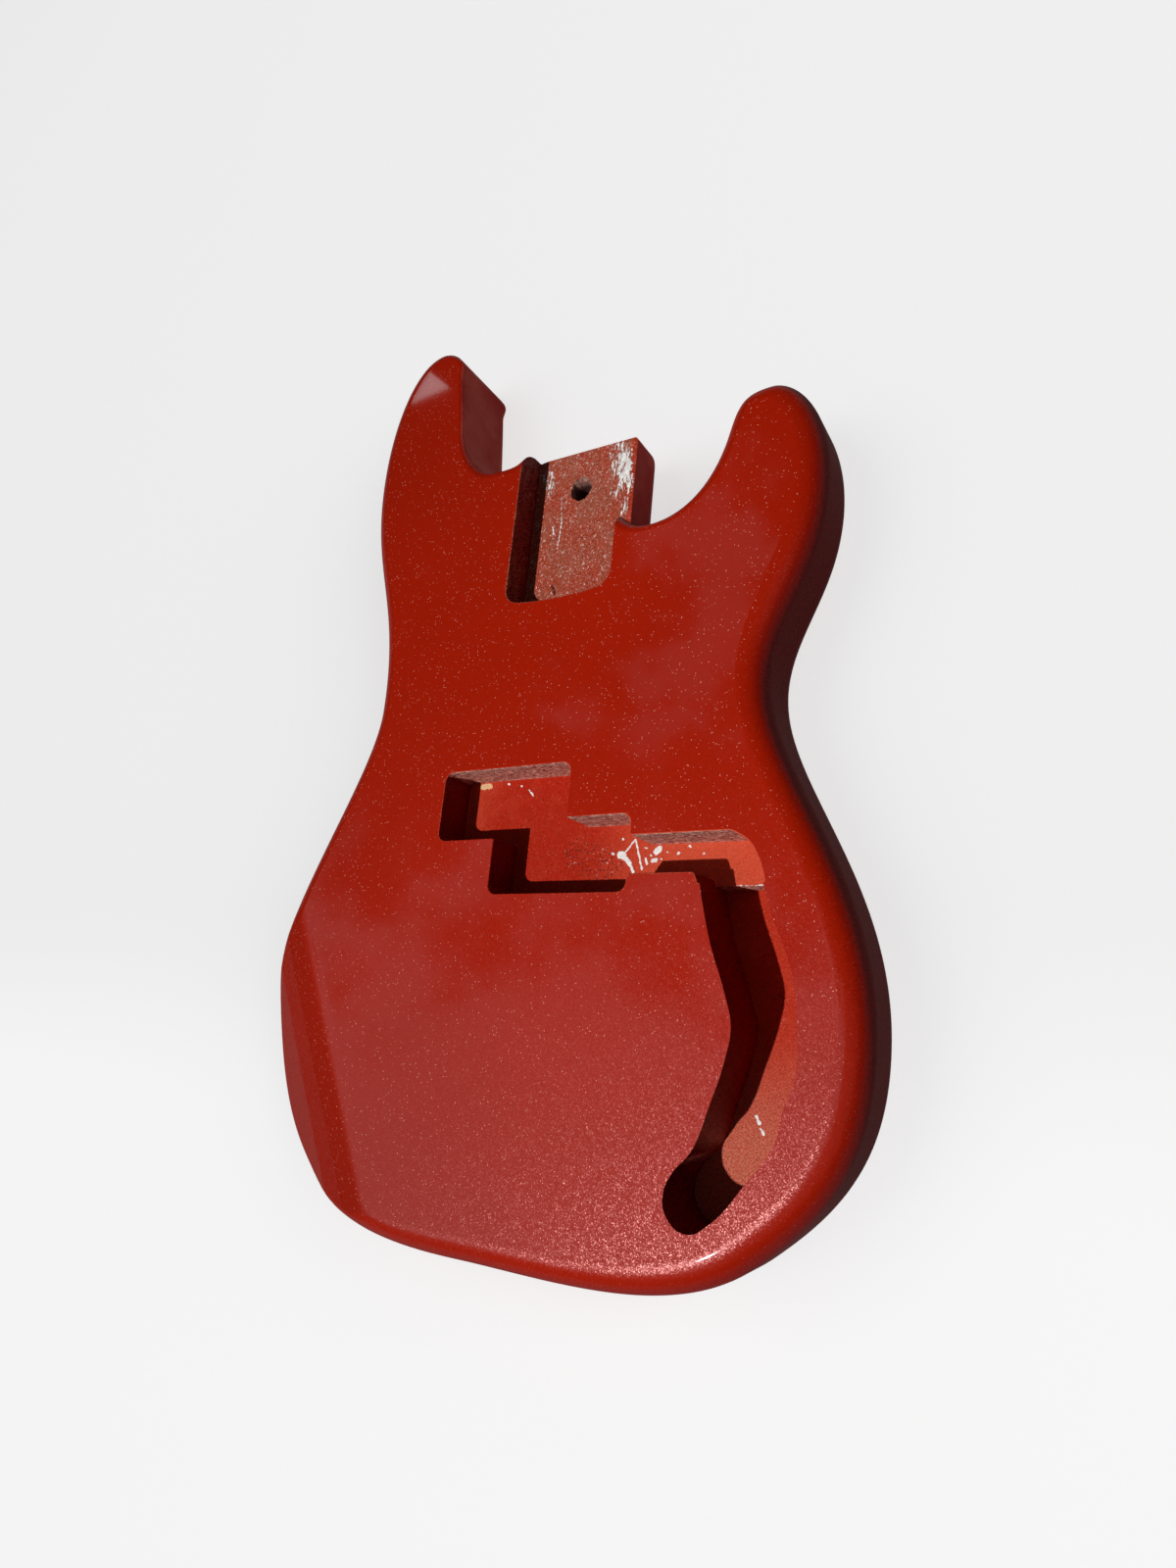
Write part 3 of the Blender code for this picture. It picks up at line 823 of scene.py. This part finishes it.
routed = carve(new_object("blank", blank(), [lacquer]), [
    cutter("neck_pocket_cutter", pocket_ring(), POCKET_DEPTH, pocket_finish),
    cutter("pickup_cutter", pickup_ring(), PICKUP_DEPTH, overspray),
    cutter("control_cavity_cutter", cavity_ring(), CAVITY_DEPTH, overspray),
    hole_cutter(make_torn_wood()),
])

# The contours. A forearm bevel on the front and a belly scoop on the back are sawn and then
# sanded until they run softly into the faces, before the body is sprayed.

# Each pass of the bevel, by its distance from the first line and its lean in degrees
FOREARM_PASSES = ((0, 10.5), (16 * MM, 18.5), (30 * MM, 26))
FOREARM_POINT = Vector((-106, -164, 0)) * MM
FOREARM_ALONG = heading(-61.5)
FOREARM_OUTWARD = Vector((FOREARM_ALONG.y, -FOREARM_ALONG.x, 0))
FOREARM_SOFTNESS = 1.0 * MM
FOREARM_LEAD_IN = 14 * MM
FOREARM_STRIP = 2 * MM
STRIPS_BEFORE = 6
STRIPS_PAST = 30

BELLY_START = Vector((-62, 35, 0)) * MM
BELLY_EDGE_X = BELLY_START.x + 12 * MM
BELLY_RADIUS = 150 * MM
BELLY_SLOPE = math.tan(math.radians(17))
BELLY_SOFTNESS = 2.5 * MM
BELLY_REACH_UP = 36 * MM
BELLY_STRIP = 4 * MM
BELLY_COLUMNS = 30
BELLY_ROWS = 44

# How near counts as on the cut, as one corner and as flat, and how far counts as bent
ON_CUT = 1e-6
ONE_CORNER = 2e-6
FLAT = 1e-7
BENT = 5e-6


def forearm_reach(place):
    """The distance past the line where the bevel starts."""
    return (place - FOREARM_POINT).dot(FOREARM_OUTWARD)


def forearm_drop(out):
    """How far the bevel lies under the front face, at this distance past its first line."""
    slope = math.tan(math.radians(FOREARM_PASSES[0][1]))
    drop = out * slope
    for start, lean in FOREARM_PASSES[1:]:
        steeper = math.tan(math.radians(lean))
        drop += max(0, out - start) * (steeper - slope)
        slope = steeper
    return drop


def soft_step(value, softness):
    """Zero below zero and the value above it, with a soft turn between."""
    if abs(value) >= softness:
        return max(0, value)
    return (value + softness) ** 2 / (4 * softness)


def belly_rise(x, y):
    """How far the scoop lies above the back face, before the rise at its edge is taken off."""
    inward = BELLY_START.x - x
    sag = (y - BELLY_START.y) ** 2 / (2 * BELLY_RADIUS)
    return soft_step(inward * BELLY_SLOPE - sag, BELLY_SOFTNESS)


def slice_faces(bm, faces, origin, normal):
    """Cuts across the faces with a plane, and gives back the faces on both sides."""
    edges = {edge for face in faces for edge in face.edges}
    verts = {vert for face in faces for vert in face.verts}
    cut = bmesh.ops.bisect_plane(bm, geom=[*faces, *edges, *verts], plane_co=origin, plane_no=normal,
                                 dist=ON_CUT)
    return [item for item in cut["geom"] if isinstance(item, bmesh.types.BMFace)]


def slice_front(bm):
    """Cuts the front into strips along the bevel, so that it can bend there."""
    front = [face for face in bm.faces if face.normal.z > 0.5 and face.calc_center_median().z > THICKNESS / 2]
    for step in range(-STRIPS_BEFORE, STRIPS_PAST):
        reach = step * FOREARM_STRIP
        front = slice_faces(bm, front, FOREARM_POINT + FOREARM_OUTWARD * reach, FOREARM_OUTWARD)
        front = [face for face in front if max(forearm_reach(vert.co) for vert in face.verts) > reach]


def slice_back(bm):
    """Cuts the back into a grid where the scoop goes."""
    back = [face for face in bm.faces if face.normal.z < -0.99]
    for step in range(BELLY_COLUMNS):
        x = BELLY_EDGE_X - step * BELLY_STRIP
        back = slice_faces(bm, back, Vector((x, 0, 0)), Vector((1, 0, 0)))
        back = [face for face in back if min(vert.co.x for vert in face.verts) < x - ON_CUT]
    back = [face for face in bm.faces if face.normal.z < -0.99
            and max(vert.co.x for vert in face.verts) < BELLY_EDGE_X + 1 * MM]
    for step in range(BELLY_ROWS):
        y = BELLY_START.y + (step - (BELLY_ROWS - 1) / 2) * BELLY_STRIP
        back = slice_faces(bm, back, Vector((0, y, 0)), Vector((0, 1, 0)))


def press_contours(bm):
    """Moves the front down to the bevel and the back up to the scoop."""
    for vert in bm.verts:
        out = forearm_reach(vert.co)
        bevel_z = THICKNESS - forearm_drop(out)
        if out > -FOREARM_LEAD_IN and vert.co.z > THICKNESS / 2:
            vert.co.z -= soft_step(vert.co.z - bevel_z, FOREARM_SOFTNESS)
        lift = belly_rise(vert.co.x, vert.co.y) - belly_rise(BELLY_EDGE_X, vert.co.y)
        if vert.co.x < BELLY_EDGE_X and lift > 0 and vert.co.z < BELLY_REACH_UP:
            vert.co.z += lift * (1 - ease(vert.co.z / BELLY_REACH_UP))


def on_a_flat_face(face):
    """Whether every corner still lies on the flat front or the flat back of the body."""
    return any(all(abs(vert.co.z - height) < FLAT for vert in face.verts) for height in (0, THICKNESS))


def unevenness(face):
    """How far the face's corners lie from one plane."""
    middle = face.calc_center_median()
    return max(abs((vert.co - middle).dot(face.normal)) for vert in face.verts)


def join_flat_faces(bm):
    """Joins the slices that stayed flat, so that the gloss mirrors evenly there."""
    in_plane = [edge for edge in bm.edges if len(edge.link_faces) == 2
                and all(face.material_index == 0 and on_a_flat_face(face) for face in edge.link_faces)]
    bmesh.ops.dissolve_edges(bm, edges=in_plane, use_verts=False, use_face_split=False)
    bent = [face for face in bm.faces if len(face.verts) > 4 and unevenness(face) > BENT]
    bmesh.ops.triangulate(bm, faces=bent)


bm = bmesh.new()
bm.from_mesh(routed)
bmesh.ops.remove_doubles(bm, verts=bm.verts, dist=ONE_CORNER)
slice_front(bm)
slice_back(bm)
press_contours(bm)
join_flat_faces(bm)
bm.to_mesh(routed)
bm.free()

# The boards. The blank was glued up from four boards with their grain along the neck. Each is the
# stretch of the finished body between two glue lines, which the lacquer hides.

GLUE_LINES = (-66 * MM, 8 * MM, 70 * MM)
BOARDS = ("bass_wing_board", "bass_centre_board", "treble_centre_board", "treble_wing_board")
ALDER_DARK = (0.55, 0.33, 0.19, 1)
ALDER_PALE = (0.68, 0.46, 0.30, 1)


def make_jointed_alder():
    material, tree, paint = empty_material("jointed_alder")
    grain = clouds(tree, 300, 4, (1, 0.06, 1))
    tree.links.new(blend(tree, grain, ALDER_DARK, ALDER_PALE), paint.inputs["Base Color"])
    paint.inputs["Roughness"].default_value = 0.7
    return material


def cut_board(mesh, left, right, joint_material):
    """The stretch of the body between two glue lines, closed with flat faces where it was cut."""
    bm = bmesh.new()
    bm.from_mesh(mesh)
    for place, outwards in ((left, -1), (right, 1)):
        if place is None:
            continue
        geom = bm.verts[:] + bm.edges[:] + bm.faces[:]
        bmesh.ops.bisect_plane(bm, geom=geom, plane_co=(place, 0, 0), plane_no=(outwards, 0, 0),
                               dist=ON_CUT, clear_outer=True)
        rim = [edge for edge in bm.edges if len(edge.link_faces) == 1]
        for face in bmesh.ops.holes_fill(bm, edges=rim, sides=0)["faces"]:
            face.material_index = joint_material
    bmesh.ops.recalc_face_normals(bm, faces=bm.faces)
    return bm


finishes = [*routed.materials, make_jointed_alder()]
boards = []
for name, left, right in zip(BOARDS, (None,) + GLUE_LINES, GLUE_LINES + (None,)):
    board = new_object(f"lacquered_{name}", cut_board(routed, left, right, len(finishes) - 1), finishes)
    board.data.shade_smooth()
    board.data.set_sharp_from_angle(angle=math.radians(28))
    weighted = board.modifiers.new("face_normals", "WEIGHTED_NORMAL")
    weighted.keep_sharp = True
    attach(board, "root")
    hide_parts(name)
    boards.append(board)

# The room. The body lies on a pale studio floor that is lit by two wide softboxes, under a hard key
# lamp of its own. Its gloss mirrors a dim sky with bright clouds, a grey sheet of painted shade and a
# white card.

WHITE = (1, 1, 1, 1)
BLACK = (0, 0, 0, 1)
FLOOR_WHITE = (0.80, 0.80, 0.80, 1)
FLOOR_HALF = 2.4
NEAR_GLOW = 0.665
FAR_GLOW = 0.60


def level_square(half, height):
    """A level square round the body."""
    bm = bmesh.new()
    bmesh.ops.create_grid(bm, x_segments=1, y_segments=1, size=half)
    bmesh.ops.translate(bm, verts=bm.verts, vec=up(height))
    return bm


def mirrored(tree):
    """One for what is seen in a mirror or through glass."""
    path = place_node(tree, "ShaderNodeLightPath").outputs
    return calculate(tree, "MAXIMUM", path["Is Glossy Ray"], path["Is Transmission Ray"])


def seen_by_camera(tree):
    return place_node(tree, "ShaderNodeLightPath").outputs["Is Camera Ray"]


floor_material, tree, paint = empty_material("pale_floor")
paint.inputs["Base Color"].default_value = FLOOR_WHITE
paint.inputs["Roughness"].default_value = 0.9
paint.inputs["Specular IOR Level"].default_value = 0
glow = between(tree, parts_of(tree, object_place(tree))["Y"], -0.21, -0.08, NEAR_GLOW, FAR_GLOW)
seen = calculate(tree, "MAXIMUM", seen_by_camera(tree), mirrored(tree))
tree.links.new(calculate(tree, "MULTIPLY", seen, glow), paint.inputs["Emission Strength"])
paint.inputs["Emission Color"].default_value = WHITE
floor = new_object("floor", level_square(FLOOR_HALF, 0), [floor_material])


def lamp(name, kind, energy, place, lit, **settings):
    """A lamp that points at the body and lights only the given pieces."""
    data = bpy.data.lights.new(name, kind)
    data.energy = energy
    for setting, value in settings.items():
        setattr(data, setting, value)
    obj = bpy.data.objects.new(name, data)
    obj.location = place
    obj.rotation_euler = Vector(place).to_track_quat("Z", "Y").to_euler()
    obj.visible_camera = False
    bpy.context.scene.collection.objects.link(obj)
    obj.light_linking.receiver_collection = bpy.data.collections.new(f"lit_by_{name}")
    for piece in lit:
        obj.light_linking.receiver_collection.objects.link(piece)


KEY_WAY = (-0.30, -0.424, 0.856)
KEY_WIDTH = math.radians(1.2)
SOFTBOX_SIZE = 4.8
lamp("key", "SUN", 3.2, KEY_WAY, boards, angle=KEY_WIDTH)
lamp("right_softbox", "AREA", 100, (4.4, 0.3, 2.4), [floor], shape="DISK", size=SOFTBOX_SIZE)
lamp("left_softbox", "AREA", 40, (-3.2, 0.3, 4.4), [floor], shape="DISK", size=SOFTBOX_SIZE)

CAMERA_PLACE = Vector((252.4, -145.4, 366.8)) * MM
CAMERA_TURN = (15.84, 26.19, 3.93)
FOCAL_PIXELS = 892.9
PICTURE = Vector((1200, 1600))
AXIS_PIXEL = Vector((709.3, 830.4))
camera_data = bpy.data.cameras.new("camera")
camera_data.sensor_width = 36
camera_data.lens = camera_data.sensor_width * FOCAL_PIXELS / PICTURE.y
camera_data.shift_x = (PICTURE.x / 2 - AXIS_PIXEL.x) / PICTURE.y
camera_data.shift_y = (AXIS_PIXEL.y - PICTURE.y / 2) / PICTURE.y
camera_data.clip_start = 0.01
camera = bpy.data.objects.new("camera", camera_data)
camera.location = CAMERA_PLACE
camera.rotation_euler = [math.radians(angle) for angle in CAMERA_TURN]
bpy.context.scene.collection.objects.link(camera)
bpy.context.scene.camera = camera
bpy.context.scene.view_settings.view_transform = "Standard"


def gloss_sheet(name, bm, brightness):
    """A plain glowing sheet that shows only in the gloss."""
    material, tree, paint = empty_material(name)
    paint.inputs["Base Color"].default_value = BLACK
    paint.inputs["Specular IOR Level"].default_value = 0
    paint.inputs["Emission Color"].default_value = WHITE
    paint.inputs["Emission Strength"].default_value = brightness
    sheet = new_object(name, bm, [material])
    sheet.visible_camera = False
    sheet.visible_diffuse = False
    sheet.visible_shadow = False
    return sheet


# The card, by the corners of its glint on the front face, in millimetres
GLINT_CORNERS = ((-94.6, 217.4), (-113.3, 234.7), (-126.3, 214.9))
CARD_REACH = 4.0
CARD_GLOW = 1.9
below_face = Vector((CAMERA_PLACE.x, CAMERA_PLACE.y, 2 * THICKNESS - CAMERA_PLACE.z))
corners = [Vector((x * MM, y * MM, THICKNESS)) for x, y in GLINT_CORNERS]
bm = bmesh.new()
bm.faces.new([bm.verts.new(corner + (corner - below_face) * CARD_REACH) for corner in corners])
card = gloss_sheet("reflecting_card", bm, CARD_GLOW)

# A dim grey sheet on the floor that only the gloss sees: painted shade, standing in for the shaded floor
# beside the body.
SHADE_SHEET_GREY = 0.14
SHADE_SHEET_HEIGHT = 0.2 * MM
shade_sheet = gloss_sheet("grey_shade_sheet", level_square(FLOOR_HALF, SHADE_SHEET_HEIGHT), SHADE_SHEET_GREY)


def mixed(tree, share, first, second):
    """The first value where the share is zero, and the second where it is one."""
    return place_node(tree, "ShaderNodeMix", {0: share, 2: first, 3: second}).outputs[0]


PLAIN_LIGHT = 0.07
BACKDROP_WHITE = 0.85
SKY_DARK = 0.004
SKY_BRIGHT = 0.36
CLOUD_WAY = (-0.41, 0.475, 0.78)
DRIFT = {"Scale": 8.0, "Detail": 7.0, "Roughness": 0.62}
DRIFT_REACH = 0.9
world = bpy.data.worlds.new("studio")
bpy.context.scene.world = world
world.use_nodes = True
tree = world.node_tree
way = place_node(tree, "ShaderNodeTexCoord").outputs["Generated"]
across, height = parts_of(tree, way)["Y"], parts_of(tree, way)["Z"]
drift = place_node(tree, "ShaderNodeTexNoise", {"Vector": way, **DRIFT}).outputs[0]
drift = calculate(tree, "MULTIPLY", calculate(tree, "SUBTRACT", drift, 0.5), DRIFT_REACH)
near_sky = between(tree, calculate(tree, "ADD", across, drift), -0.05, 0.28, 1.0, 0.0)
high_sky = between(tree, height, 0.40, 0.62)
overhead = calculate(tree, "MULTIPLY", near_sky, high_sky)
off_cloud = calculate(tree, "ADD", along(tree, "DISTANCE", way, CLOUD_WAY, result=1), drift)
cloud = between(tree, off_cloud, 0.02, 0.20, 0.6, 0.0)
sky = between(tree, calculate(tree, "MAXIMUM", overhead, cloud), 0.0, 1.0, SKY_DARK, SKY_BRIGHT)
low = between(tree, height, 0.02, 0.0)
in_gloss = mixed(tree, low, sky, BACKDROP_WHITE)
strength = mixed(tree, mirrored(tree), PLAIN_LIGHT, in_gloss)
strength = mixed(tree, seen_by_camera(tree), strength, BACKDROP_WHITE)
tree.links.new(strength, tree.nodes["Background"].inputs["Strength"])
tree.nodes["Background"].inputs["Color"].default_value = WHITE
